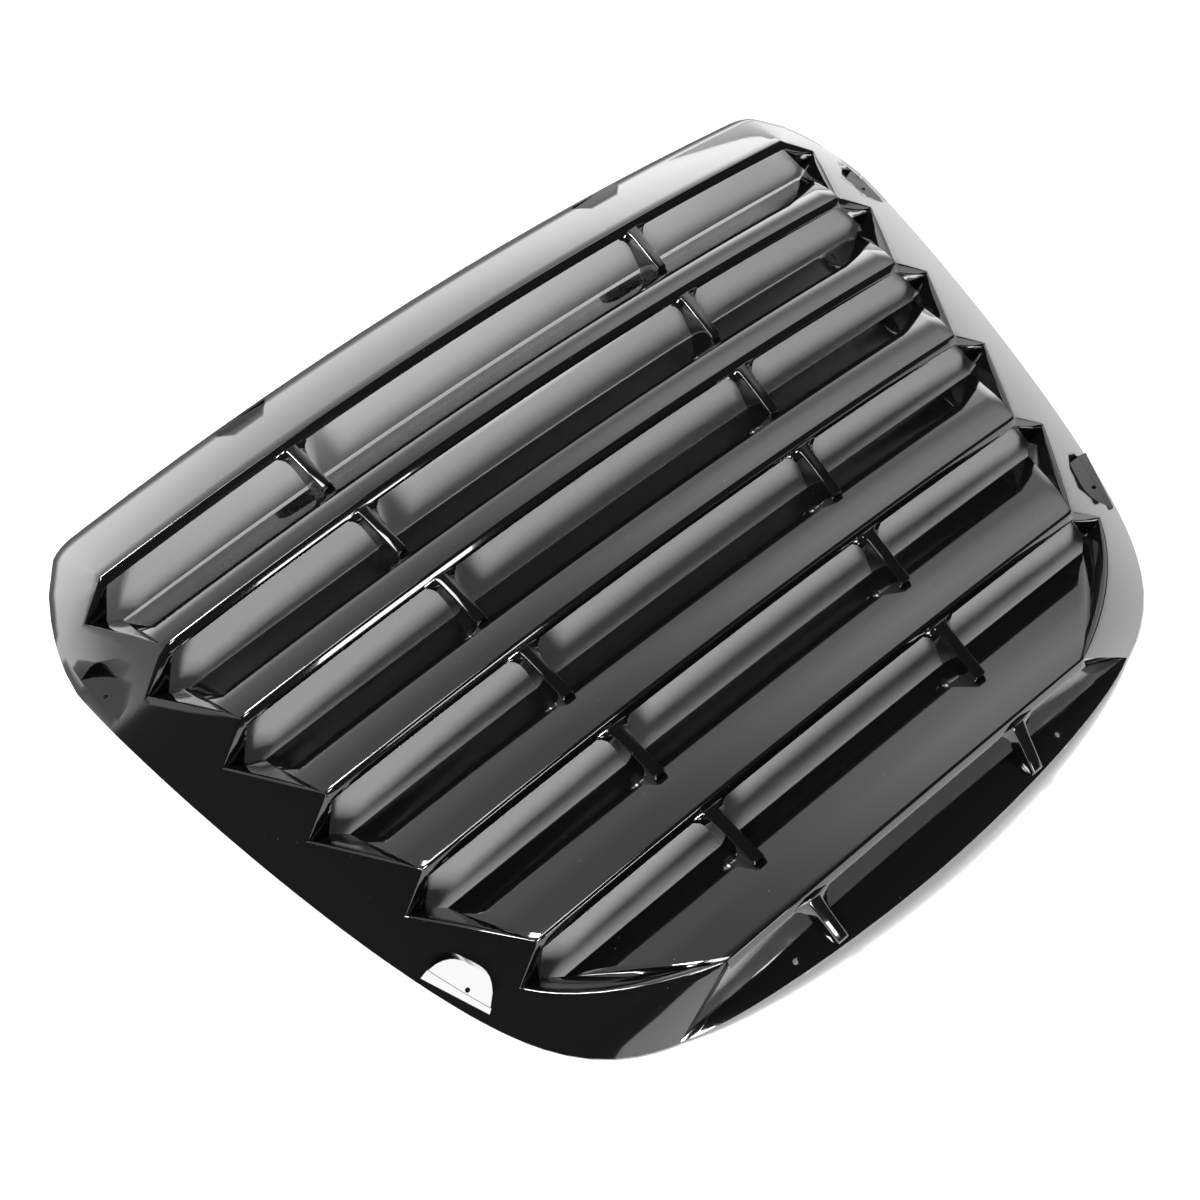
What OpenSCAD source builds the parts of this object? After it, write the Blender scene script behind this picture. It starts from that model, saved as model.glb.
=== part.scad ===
// Rear window louver: one moulded shell with a wide roof band, side bands cut
// into saw teeth, six full width slats, a tail flange, ribs and screw pads.
// Drawn lying on a level floor. X is across, +Y is the roof end, +Z is up.
// The origin is on the floor, under the middle of the outline.

/* [Overall] */
// Width over the widest part of the rim
overall_w = 1194; // [1000:1:1400]
// Length from the roof edge to the tail edge
overall_l = 911; // [800:1:1050]
// Height of the crest at the roof end, in the middle
crest_roof = 105; // [80:1:140]
// Height of the crest at the tail end, in the middle
crest_tail = 77; // [60:1:110]
// Radius of the sideways arch of all surfaces
arch_r = 4630; // [3000:10:9000]
// Thickness of the moulding
wall = 3; // [2.5:0.1:4]

/* [Rim] */
// Height of the rim at the roof corners
corner_lift = 32; // [10:1:50]
// Height of the tail edge in its middle
tail_lift = 22; // [5:1:40]
// How far the roof edge bows out in its middle
roof_bow = 8.5; // [0:0.5:20]
// Swell of the bands between rim and crest
band_swell = 3; // [0:0.5:8]

/* [Slats] */
// Number of slats between the roof band and the tail
slats = 6; // [4:1:8]
// Distance of the first crest from the roof edge, at the sides
first_crest = 114.5; // [90:0.5:140]
// Distance of the last crest from the tail edge
last_crest = 57.5; // [40:0.5:80]
// Bow of the first crest towards the roof
crest_bow = 5; // [0:0.5:15]
// Drop of a slat's low front edge below the crest surface
slat_drop = 33; // [25:0.5:45]
// Gap in plan from a crest to the next low edge
slat_gap = 38; // [30:0.5:50]
// Radius of the rolled low edge
roll_r = 2.6; // [1.5:0.1:4]
// Depth of the lip that hangs from each crest
lip_z = 10; // [6:0.5:16]
// Lean of the lip towards the tail
lip_y = 6; // [3:0.5:12]

/* [Teeth] */
// Tip of a tooth gap behind its crest
tooth_back = 16.5; // [8:0.5:30]
// Share of the side band that the tooth gap takes
tooth_share = 0.49; // [0.3:0.01:0.6]
// Reach of a tooth gap's inner corner, inwards
draft_x = 19.5; // [10:0.5:30]
// Depth of a tooth gap's inner corner
draft_z = 15; // [8:0.5:25]
// Width of the chamfer along a tooth gap
edge_w = 4; // [1:0.5:8]
// Depth of the chamfer along a tooth gap
edge_h = 2.6; // [1:0.1:5]

/* [Ribs] */
// Middle of a rib pair at the first opening
rib_x = 250; // [180:1:320]
// How much nearer the middle line each next pair stands
rib_step = 19.3; // [10:0.1:25]
// Width of a rib along its top
rib_w = 13; // [8:0.5:20]
// Widening of a rib at its foot
rib_flare = 11; // [4:0.5:16]
// Length of a rib in plan
rib_l = 66; // [50:1:80]
// Height of a rib's end above its slat
rib_end_h = 6; // [3:0.5:12]
// Radius of the corners between ribs and lips
rib_r = 13; // [8:0.5:18]

/* [Screw pads] */
// Length of a pad along the rim
pad_l = 74; // [50:1:100]
// Depth of the side pads
pad_d = 33; // [24:1:40]
// Depth of the roof pads
roof_pad_d = 18; // [14:0.5:24]
// Distance of the roof pads from the middle line
roof_pad_x = 270; // [180:1:360]
// Height of the upper side pads
upper_pad_z = 9; // [5:0.5:14]
// Height of the lower side pads
lower_pad_z = 15; // [8:0.5:20]
// Diameter of the screw holes
hole_d = 5; // [4:0.1:8]
// Distance of the tail holes from the middle line
tail_hole_x = 177; // [120:1:240]

/* [Hidden] */

sx = overall_w / 1194;
sy = overall_l / 911;
half_l = overall_l / 2;
cols = 12;

// Plan points of the outline and of the line of crest ends
corner = [534 * sx, half_l - roof_bow];
widest = [597 * sx, 281.5 * sy];
tail_turn = [445 * sx, -278 * sy];
tail_join = [306 * sx, -418 * sy];
crest_y1 = half_l - first_crest * sy;
crest_y0 = -half_l + last_crest * sy;
crest_pitch = (crest_y1 - crest_y0) / slats;

function mixed(a, b, t) = a + (b - a) * t;
function ease(t) = let (u = min(1, max(0, t))) u * u * (3 - 2 * u);
function bend(p, t) =
    pow(1 - t, 3) * p[0] + 3 * pow(1 - t, 2) * t * p[1]
    + 3 * (1 - t) * t * t * p[2] + pow(t, 3) * p[3];
function at_y(p, y, lo = 0, hi = 1, n = 22) =
    let (m = (lo + hi) / 2)
    n == 0 ? bend(p, m) : bend(p, m)[1] > y ? at_y(p, y, m, hi, n - 1) : at_y(p, y, lo, m, n - 1);

shoulder = [corner, [574 * sx, 394 * sy], [599 * sx, 335 * sy], widest];
side = [widest, [589 * sx, 208 * sy], [521 * sx, -108 * sy], tail_turn];
tail = [tail_turn, [416 * sx, -341 * sy], [383 * sx, -395 * sy], tail_join];
tail_edge = [tail_join, [245 * sx, -442 * sy], [104 * sx, -half_l], [0, -half_l]];
line_in = [[500 * sx, crest_y1], [484 * sx, 204 * sy], [434 * sx, -109 * sy], [356 * sx, -275 * sy]];
line_tail = [[356 * sx, -275 * sy], [342 * sx, -318 * sy], [306 * sx, -370 * sy], [232 * sx, crest_y0]];

// Heights: arch across, crest surface along, rim around
function arch(x) = sqrt(arch_r * arch_r - x * x) - arch_r;
function crest(x, y) = mixed(crest_tail, crest_roof, ease((y - crest_y0) / (crest_y1 - crest_y0))) + arch(x);
function rim_x(y) = y > widest[1] ? at_y(shoulder, y)[0] : y > tail_turn[1] ? at_y(side, y)[0] : at_y(tail, y)[0];
function in_x(y) = y > line_in[3][1] ? at_y(line_in, y)[0] : at_y(line_tail, y)[0];
function tail_z(x) = max(0, tail_lift * (1 - pow(x / tail_join[0], 2)));

// One way round the right half: 0 roof middle, 1 corner, 2 widest, 3 tail turn, 4 tail join
function rim(t) =
    t <= 1 ? [corner[0] * t, half_l - roof_bow * t * t, corner_lift + arch(corner[0] * t) - arch(corner[0])]
    : t <= 2 ? concat(bend(shoulder, t - 1), mixed(corner_lift, wall, ease(t - 1)))
    : t <= 3 ? concat(bend(side, t - 2), wall)
    : concat(bend(tail, t - 3), wall);
function inner(t) =
    let (y = t <= 1 ? 0 : t <= 2 ? mixed(crest_y1, widest[1] + 2, pow(t - 1, 1.5)) : t <= 3 ? rim(t)[1] : 0,
         p = t <= 1 ? [line_in[0][0] * t, crest_y1 + crest_bow * (1 - t * t)]
             : t <= 3 ? [in_x(y), y]
             : bend(line_tail, t - 3))
    [p[0], p[1], crest(p[0], min(p[1], crest_y1))];
function swell(s) = 4 * s * (1 - s) * band_swell;
function band_pt(t, s) = mixed(rim(t), inner(t), s) + [0, 0, swell(s)];
function side_z(x, y) =
    let (rx = rim_x(y), ix = in_x(y), s = (rx - x) / (rx - ix))
    mixed(wall, crest(ix, y), s) + swell(s);

// Crest ends, gap tips and low corners of the slats on the right
function crest_y(i) = crest_y1 - (i - 1) * crest_pitch;
function crest_end(i) = let (y = crest_y(i), x = in_x(y)) [x, y, crest(x, y)];
function tip(i) =
    let (y = crest_y(i) - tooth_back, x = mixed(in_x(y), rim_x(y), tooth_share))
    [x, y, side_z(x, y)];
function low_y(i) = crest_y(i) - slat_gap + (i - 1);
function low_end(i) = let (y = low_y(i), x = in_x(y) + 13) [x, y, crest(x, y) - slat_drop];
function bow(i, u) = crest_bow * (1 - (i - 1) / slats) * (1 - u * u);

// Solid between two grids of points, turned the right way round by its volume
module shell(top, bottom) {
    n = len(top);
    m = len(top[0]);
    pts = [for (g = [top, bottom]) for (r = g) for (p = r) p];
    k = n * m;
    quads = [
        for (j = [0 : n - 2]) for (i = [0 : m - 2])
            let (a = j * m + i) each [[a, a + 1, a + m + 1, a + m], [k + a, k + a + m, k + a + m + 1, k + a + 1]],
        for (j = [0 : n - 2])
            let (a = j * m, b = j * m + m - 1)
            each [[a, a + m, k + a + m, k + a], [b, k + b, k + b + m, b + m]],
        for (i = [0 : m - 2])
            let (a = i, b = (n - 1) * m + i)
            each [[a, k + a, k + a + 1, a + 1], [b, b + 1, k + b + 1, k + b]]
    ];
    tris = [for (q = quads) each [[q[0], q[1], q[2]], [q[0], q[2], q[3]]]];
    c = pts[0];
    vol = sums([for (q = tris) (pts[q[0]] - c) * cross(pts[q[1]] - c, pts[q[2]] - c)]);
    polyhedron(pts, vol < 0 ? tris : [for (q = tris) [q[2], q[1], q[0]]]);
}
function sums(v) = v * [for (x = v) 1];

module strip(rows, d) {
    shell(rows, [for (r = rows) [for (p = r) p + d]]);
}

// Roof and side bands, and the same body made thick for the screw pads
ts = [
    for (i = [0 : 6]) i / 7,
    0.985, 1.02,
    for (i = [1 : 5]) 1 + i / 6,
    for (i = [0 : 7]) 2 + i / 8,
    for (i = [0 : 7]) 3 + i / 7
];
both = concat([for (i = [len(ts) - 1 : -1 : 1]) -ts[i]], ts);
ss = [0, 0.5, 1];
function sided(t, p) = t < 0 ? [-p[0], p[1], p[2]] : p;
function band_n(t, s) =
    let (a = abs(t), e = 0.02, a0 = max(0, a - e), a1 = min(4, a + e),
         v = cross(band_pt(a1, s) - band_pt(a0, s), band_pt(a, min(1, s + 0.05)) - band_pt(a, max(0, s - 0.05))))
    v / norm(v) * (v[2] < 0 ? 1 : -1);

module band() {
    shell([for (t = both) [for (s = ss) sided(t, band_pt(abs(t), s))]],
        [for (t = both) [for (s = ss) sided(t, band_pt(abs(t), s) + wall * (s == 0 ? [0, 0, -1] : band_n(t, s)))]]);
}

module thick_band() {
    shell([for (t = both) [for (s = ss) sided(t, band_pt(abs(t), s) - [0, 0, 0.5])]],
        [for (t = both) [for (s = ss) let (p = sided(t, band_pt(abs(t), s))) [p[0], p[1], -1]]]);
}

// Openings of the side teeth, seen from above
function gap_end(i) = crest_end(i + 1) - [3, i < slats ? 0 : 1.7, 0];
function pocket(i, v) =
    let (b = tip(i), c = gap_end(i))
    bend([[b[0], b[1]], [b[0] - 30, b[1] - 42], [300 * sx, -375 * sy], [c[0], c[1]]], v);
function gap_plan(i) =
    let (a = crest_end(i), b = tip(i), c = gap_end(i))
    i < slats ? [[a[0], a[1]], [b[0], b[1]], [c[0], c[1]], [c[0] - 60, c[1] - 1], [a[0] - 60, a[1] + 1]]
    : concat([[a[0], a[1]]], [for (k = [0 : 7]) pocket(i, k / 7)], [[c[0] - 60, c[1]], [a[0] - 60, a[1]]]);

module gaps() {
    for (i = [1 : slats])
        for (m = [0, 1])
            mirror([m, 0, 0]) translate([0, 0, -5]) linear_extrude(200) polygon(gap_plan(i));
}

// Lip that hangs from the first crest, the whole width
function us(n) = [for (k = [0 : n]) 2 * k / n - 1];
function crest_pt(i, u) =
    let (e = crest_end(i), x = e[0] * u)
    [x, e[1] + bow(i, u), crest(x, e[1])];

module first_lip() {
    ps = [for (u = us(cols)) crest_pt(1, u * 1.002)];
    shell([for (p = ps) [p + [0, 1.5, -0.9], p + [0, -0.2, -0.4], p + [0, -lip_y, -lip_z]]],
        [for (p = ps) [p + [0, wall + 1.5, -2.4], p + [0, wall, -4.4], p + [0, wall - lip_y - 0.4, -lip_z]]]);
}

// Slat from its rolled low edge in opening i up to crest i + 1, with the lip behind the crest
function slat_at(i, u, s) =
    let (a = low_end(i), b = crest_end(i + 1), e = mixed(a, b, s), x = (e[0] + 0.7) * u,
         za = a[2] + arch(x) - arch(a[0]), zb = crest(x, b[1]))
    [x, e[1] + bow(i + 1, u) * min(1, s), mixed(za, zb, s) + 6 * s * (1 - s)];
function slat_off(i, u, s, dy, dz) =
    let (n = low_end(i)[1] - crest_end(i + 1)[1], p = slat_at(i, u, s), q = slat_at(i, u, s - dy / n))
    [q[0], p[1] + dy, p[2] + dz];

module slat(i) {
    r = roll_r;
    w = wall;
    top = [[0, r, -r], [0, 0.3 * r, -0.1 * r], [0.5, 0, 0], [1, 1.6, -0.2], [1, -0.3, -0.6], [1, -lip_y, -lip_z]];
    low = [[0, 0.5 * r, -1.8 * r], [0, -0.6 * r, -2 * r], [0.5, 0.3 * w, -w],
        [1, 1.6 + 0.9 * w, -1.5 * w], [1, 0.8 * w, -1.8 * w], [1, w - lip_y - 0.4, -lip_z]];
    shell([for (u = us(cols)) [for (q = top) slat_off(i, u, q[0], q[1], q[2])]],
        [for (u = us(cols)) [for (q = low) slat_off(i, u, q[0], q[1], q[2])]]);
}

// End walls of an opening on the right: a long one from the gap's tip down along the slat's end
function edge_pt(i, v) =
    let (a = tip(i), b = gap_end(i), q = mixed(a, b, v), g = pocket(i, v))
    i < slats ? q : [g[0], g[1], min(crest(g[0], g[1]), side_z(g[0], g[1]))];
function heel(i) = tip(i) + [-draft_x, -1, -draft_z];
function foot_pt(i, v, k = 0.2) =
    v < k ? mixed(heel(i), low_end(i), v / k) : mixed(low_end(i), crest_end(i + 1), (v - k) / (1 - k));
function plan_dir(a, b) = let (d = [b[0] - a[0], b[1] - a[1], 0]) d / norm(d);
function outward(d) = [-d[1], d[0], 0];

module end_walls(i) {
    a = crest_end(i);
    t = tip(i);
    last = i == slats;
    vs = last ? [for (k = [0 : 7]) mixed(-0.015, 0.93, k / 7)] : [-0.015, 0.2, 0.9];
    rows = [for (v = vs)
        let (e = edge_pt(i, v), f = foot_pt(i, v) + [0.4, 0, 0],
             o = outward(plan_dir(edge_pt(i, v - 0.02), edge_pt(i, v + 0.02))),
             w = min(edge_w, 0.6 * norm([e[0] - f[0], e[1] - f[1]])),
             g = e - w * o - [0, 0, min(edge_h, 0.6 * (e[2] - f[2])) + 0.3], m = mixed(g, f, 0.5) - [0, 0, 18 * v * (1 - v)])
        concat([e + 1.1 * o - [0, 0, 1.5], g], last ? [m] : [], [f, f - [0, 0, 1.4 * wall],
            e + (1.1 + wall) * o - [0, 0, 2.2], g + wall * o - [0, 0, 2.2]], last ? [m + wall * o - [0, 0, 1.5]] : [],
            [f + wall * o - [0, 0, 1.5], f + wall * o - [0, 0, 1.4 * wall]])];
    h = len(rows[0]) / 2;
    shell([for (r = rows) [for (k = [0 : h - 1]) r[k]]], [for (r = rows) [for (k = [h : 2 * h - 1]) r[k]]]);
    // Short wall, from the end of the lip to the gap's tip
    d = plan_dir(a, t);
    o = outward(d);
    l = a + [-2.4, 0.8 - lip_y, -lip_z];
    g = t + [-edge_w - 0.6, -0.4 * edge_w, -edge_h - 1.5];
    f = heel(i);
    strip([[a - 2.6 * d + 1.1 * o + [0, 0, -1.2], t + 1.5 * d + 1.1 * o + [0, 0, -1.6]],
        [l + [0, 0, 1], g + 2 * d], [l, mixed(g, f, 0.3) + 1.8 * d], [l + [1, 0, -3], f + 1.5 * d],
        [l + [1, 0, -8], f + [1, 0, -1.6 * wall]]], wall * o + [0, 0, -0.4]);
}

// Filled corner where the last slat, its wall and the side band meet
module knuckle() {
    c = crest_end(slats + 1);
    translate([c[0], c[1], c[2] - 8.5]) linear_extrude(4.3)
        polygon([[-4, 0.8], [8.5, 7.5], [13, 5], [13, 2], [-2, -0.7]]);
}

// Rib of opening i on the right: from the lip down on to the next slat, with rounded corners at the lip
function slat_z(i, x, y) =
    let (a = low_end(i), b = crest_end(i + 1), s = (a[1] - y) / (a[1] - b[1]))
    mixed(a[2] + arch(x) - arch(a[0]), crest(x, b[1]), s) + 6 * s * (1 - s);

module rib(i) {
    last = i > slats;
    x0 = (rib_x - (i - 1) * rib_step) * sx;
    y0 = crest_y(i) - lip_y + bow(i, x0 / crest_end(i)[0]);
    zl = crest(x0, crest_y(i)) - lip_z;
    y1 = last ? -half_l + 9 : y0 - rib_l;
    x1 = x0 - 0.1 * (y0 - y1);
    ym = last ? mixed(y0, y1, 0.45) : low_y(i) - 1;
    z1 = last ? tail_z(x1) + 14 : slat_z(i, x1, y1) + rib_end_h;
    zm = last ? tail_z(x1) + 12 : slat_z(i, x0, ym) - 1.4 * wall;
    ze = last ? tail_z(x1) + 1.5 : slat_z(i, x1, y1) - wall / 2;
    w = rib_w / 2;
    f = w + rib_flare / 2;
    r = rib_r;
    st = concat(
        [for (k = [0 : 2]) let (q = k * 45) [y0 + 1.8 - (k == 0 ? 0 : 1.8) - r * (1 - cos(q)), f + r * (1 - sin(q))]],
        [[ym, mixed(f, w + 2, last ? 0.5 : 0.25)], [y1, w + 0.6]]);
    rows = [for (k = [0 : len(st) - 1])
        let (y = st[k][0], q = (y0 - y) / (y0 - y1), x = mixed(x0, x1, q), zt = mixed(zl + 0.45 * lip_z, z1, q),
             zb = y > ym ? mixed(zl - 1, zm, (y0 - y) / (y0 - ym)) : k == len(st) - 1 ? ze : zm)
        [[x - st[k][1], y, zb], [x - w, y, zt - 1.2], [x - w + 1.5, y, zt], [x + w - 1.5, y, zt], [x + w, y, zt - 1.2],
            [x + st[k][1], y, zb], [x + st[k][1] / 2, y, zb - 2], [x - st[k][1] / 2, y, zb - 2]]];
    shell([for (p = rows) [for (k = [0 : 5]) p[k]]], [for (p = rows) [p[0] - [0, 0, 1], p[7], p[7] + [1, 0, 0],
        p[6] - [1, 0, 0], p[6], p[5] - [0, 0, 1]]]);
}

// Flange along the tail, with its raised inner edge
module tail_flange() {
    n = 9;
    xe = 252 * sx;
    xr = tail_join[0];
    rows = [for (k = [-n : n])
        let (q = 1.02 * abs(k) / n, o = bend(tail_edge, 1 - q), x = mixed(0, xe, q), sg = k < 0 ? -1 : 1,
             zo = tail_z(o[0]) + wall, zi = zo + 14 - 3 * q)
        [[sg * o[0], o[1], zo], [sg * mixed(o[0], x, 0.5), mixed(o[1], crest_y0 - 18.5, 0.5), mixed(zo, zi, 0.5) + 1],
         [sg * x, crest_y0 - 18.5, zi]]];
    strip(rows, [0, 0, -wall]);
}

// Wall that closes the last opening at its side, from the crest end to the rim
module tail_wall() {
    a = crest_end(slats + 1);
    b = [tail_join[0] + 2.2, tail_join[1] + 2.6, wall + 0.3];
    strip([for (k = [0 : 5]) let (p = mixed(a, b, k / 5) + [1, 1.3, -1.3], h = 36 * sin(25 + 140 * k / 5))
        [p, [p[0] - 3, p[1] - 3, max(0.6, p[2] - h)]]], [wall, 1, 0]);
}

// Screw pad seen from above: straight outer side, rounded inner side
function pad_plan(l, d, g) =
    let (a = l / 2 + g, h = d + g)
    concat([[a, -g], [-a, -g]],
        [for (k = [0 : 8]) let (q = -1 + k / 4) [a * sign(q) * pow(abs(q), 0.8), h * pow(1 - pow(abs(q), 3.2), 0.6)]]);

module pad_place(k) {
    if (k == 0) translate([roof_pad_x * sx, half_l - 6.5, 0]) rotate(180) children();
    if (k == 1) translate([580.5 * sx, 251 * sy, 0]) rotate(83) children();
    if (k == 2) translate([446.5 * sx, -254 * sy, 0]) rotate(64.2) children();
}
function pad_z(k) = k == 0 ? rim(roof_pad_x * sx / corner[0])[2] + 1.5 : k == 1 ? upper_pad_z : lower_pad_z;
function pad_depth(k) = k == 0 ? roof_pad_d : pad_d;

module pad_cut(k) {
    pad_place(k) translate([0, 0, pad_z(k)]) linear_extrude(60) polygon(pad_plan(pad_l, pad_depth(k), 0));
}

module pad_boss(k) {
    intersection() {
        pad_place(k) translate([0, 0, pad_z(k) - wall]) linear_extrude(60)
            polygon(pad_plan(pad_l, pad_depth(k), wall));
        thick_band();
    }
    if (k == 2)
        pad_place(k) translate([0, 0, 0.8]) linear_extrude(pad_z(k) - 0.8) polygon(pad_plan(pad_l + 1, pad_depth(k), 0.5));
}

module pad_hollow(k) {
    if (k == 2)
        pad_place(k) translate([0, wall, -1]) linear_extrude(pad_z(k) - wall + 1)
            polygon(pad_plan(pad_l - 2 * wall, pad_depth(k) - 2 * wall, 0));
}

module holes() {
    for (m = [0, 1]) mirror([m, 0, 0]) {
        for (k = [0, 1, 2])
            pad_place(k) translate([[0, 13, 0], [-1, 9.3, 0], [-8.4, 9.8, 0]][k])
                translate([0, 0, pad_z(k) - 20]) cylinder(h = 40, d = hole_d);
        translate([tail_hole_x * sx, -432 * sy, 0]) cylinder(h = 60, d = hole_d);
    }
}

module body() {
    difference() {
        union() {
            band();
            for (m = [0, 1]) mirror([m, 0, 0]) for (k = [0, 1, 2]) pad_boss(k);
        }
        gaps();
        for (m = [0, 1]) mirror([m, 0, 0]) for (k = [0, 1, 2]) {
            pad_cut(k);
            pad_hollow(k);
        }
    }
    first_lip();
    for (i = [1 : slats]) slat(i);
    for (m = [0, 1]) mirror([m, 0, 0]) {
        for (i = [1 : slats]) end_walls(i);
        for (i = [1 : slats + 1]) rib(i);
        knuckle();
        tail_wall();
    }
    tail_flange();
}

module louver() {
    color([0.05, 0.05, 0.055])
    difference() {
        resize([overall_w, overall_l, 0]) body();
        holes();
    }
}

louver();
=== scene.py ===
"""Rear window louver in gloss black: the detailed moulding over its CAD frame, with a pale studio."""
import logging
import math
from dataclasses import dataclass, field
from enum import Enum

import bpy
from mathutils import Matrix, Vector


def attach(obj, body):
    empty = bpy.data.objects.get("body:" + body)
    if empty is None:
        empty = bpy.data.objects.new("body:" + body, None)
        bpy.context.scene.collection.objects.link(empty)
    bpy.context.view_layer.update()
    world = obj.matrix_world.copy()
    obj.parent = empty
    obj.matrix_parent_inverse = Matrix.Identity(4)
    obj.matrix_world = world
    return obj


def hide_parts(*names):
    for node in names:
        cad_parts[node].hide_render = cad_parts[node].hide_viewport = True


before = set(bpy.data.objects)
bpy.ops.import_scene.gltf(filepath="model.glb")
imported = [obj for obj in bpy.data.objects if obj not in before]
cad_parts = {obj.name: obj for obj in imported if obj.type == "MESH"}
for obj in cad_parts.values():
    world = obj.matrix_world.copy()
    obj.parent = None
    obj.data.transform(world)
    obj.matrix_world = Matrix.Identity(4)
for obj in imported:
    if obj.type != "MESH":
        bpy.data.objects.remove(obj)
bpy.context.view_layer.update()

LOG = logging.getLogger("louver")
MM = 0.001
Row = list[Vector]


class Side(Enum):
    """Which half of the louver a mirrored piece belongs to."""

    RIGHT = 1
    LEFT = -1


class Cut(Enum):
    """What a cutting body does to the piece that it meets."""

    JOIN = "UNION"
    TAKE_OUT = "DIFFERENCE"
    KEEP_INSIDE = "INTERSECT"


@dataclass(frozen=True)
class LouverSizes:
    """Sizes of the moulding in millimetres, under the same names as in the CAD source."""

    overall_w: float = 1194.0
    overall_l: float = 911.0
    crest_roof: float = 105.0
    crest_tail: float = 77.0
    arch_r: float = 4630.0
    wall: float = 3.0
    corner_lift: float = 32.0
    tail_lift: float = 22.0
    roof_bow: float = 8.5
    band_swell: float = 1.5
    roof_swell: float = 0.6
    slats: int = 6
    first_crest: float = 114.5
    last_crest: float = 57.5
    crest_bow: float = 5.0
    slat_drop: float = 41.0
    slat_gap: float = 32.3
    slat_crown: float = 4.0
    slat_flat: float = 1.5
    lip_z: float = 10.0
    lip_y: float = 6.0
    tooth_back: float = 16.5
    tooth_share: float = 0.49
    draft_x: float = 19.5
    draft_z: float = 15.0
    edge_w: float = 4.0
    edge_h: float = 2.6
    rib_x: float = 250.0
    rib_step: float = 19.3
    rib_w: float = 13.0
    rib_flare: float = 11.0
    rib_l: float = 66.0
    rib_end_h: float = 7.5
    rib_r: float = 13.0
    pad_l: float = 74.0
    pad_d: float = 33.0
    roof_pad_d: float = 18.0
    roof_pad_x: float = 270.0
    upper_pad_z: float = 13.0
    lower_pad_z: float = 15.0
    hole_d: float = 5.0
    tail_hole_x: float = 177.0


def mixed(a, b, t: float):
    """Gives the value or point at share t of the way from a to b."""
    return a + (b - a) * t


def ease(t: float) -> float:
    """Gives a soft step from 0 to 1."""
    u = min(1.0, max(0.0, t))
    return u * u * (3 - 2 * u)


def bend(p: list[Vector], t: float) -> Vector:
    """Gives the point at t on a curve with four plan points."""
    q = 1 - t
    return p[0] * q ** 3 + p[1] * (3 * q * q * t) + p[2] * (3 * q * t * t) + p[3] * t ** 3


def at_y(p: list[Vector], y: float) -> Vector:
    """Finds where a curve that runs towards the tail has a given y."""
    lo, hi = 0.0, 1.0
    for _ in range(30):
        m = (lo + hi) / 2
        if bend(p, m).y > y:
            lo = m
        else:
            hi = m
    return bend(p, (lo + hi) / 2)


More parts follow.
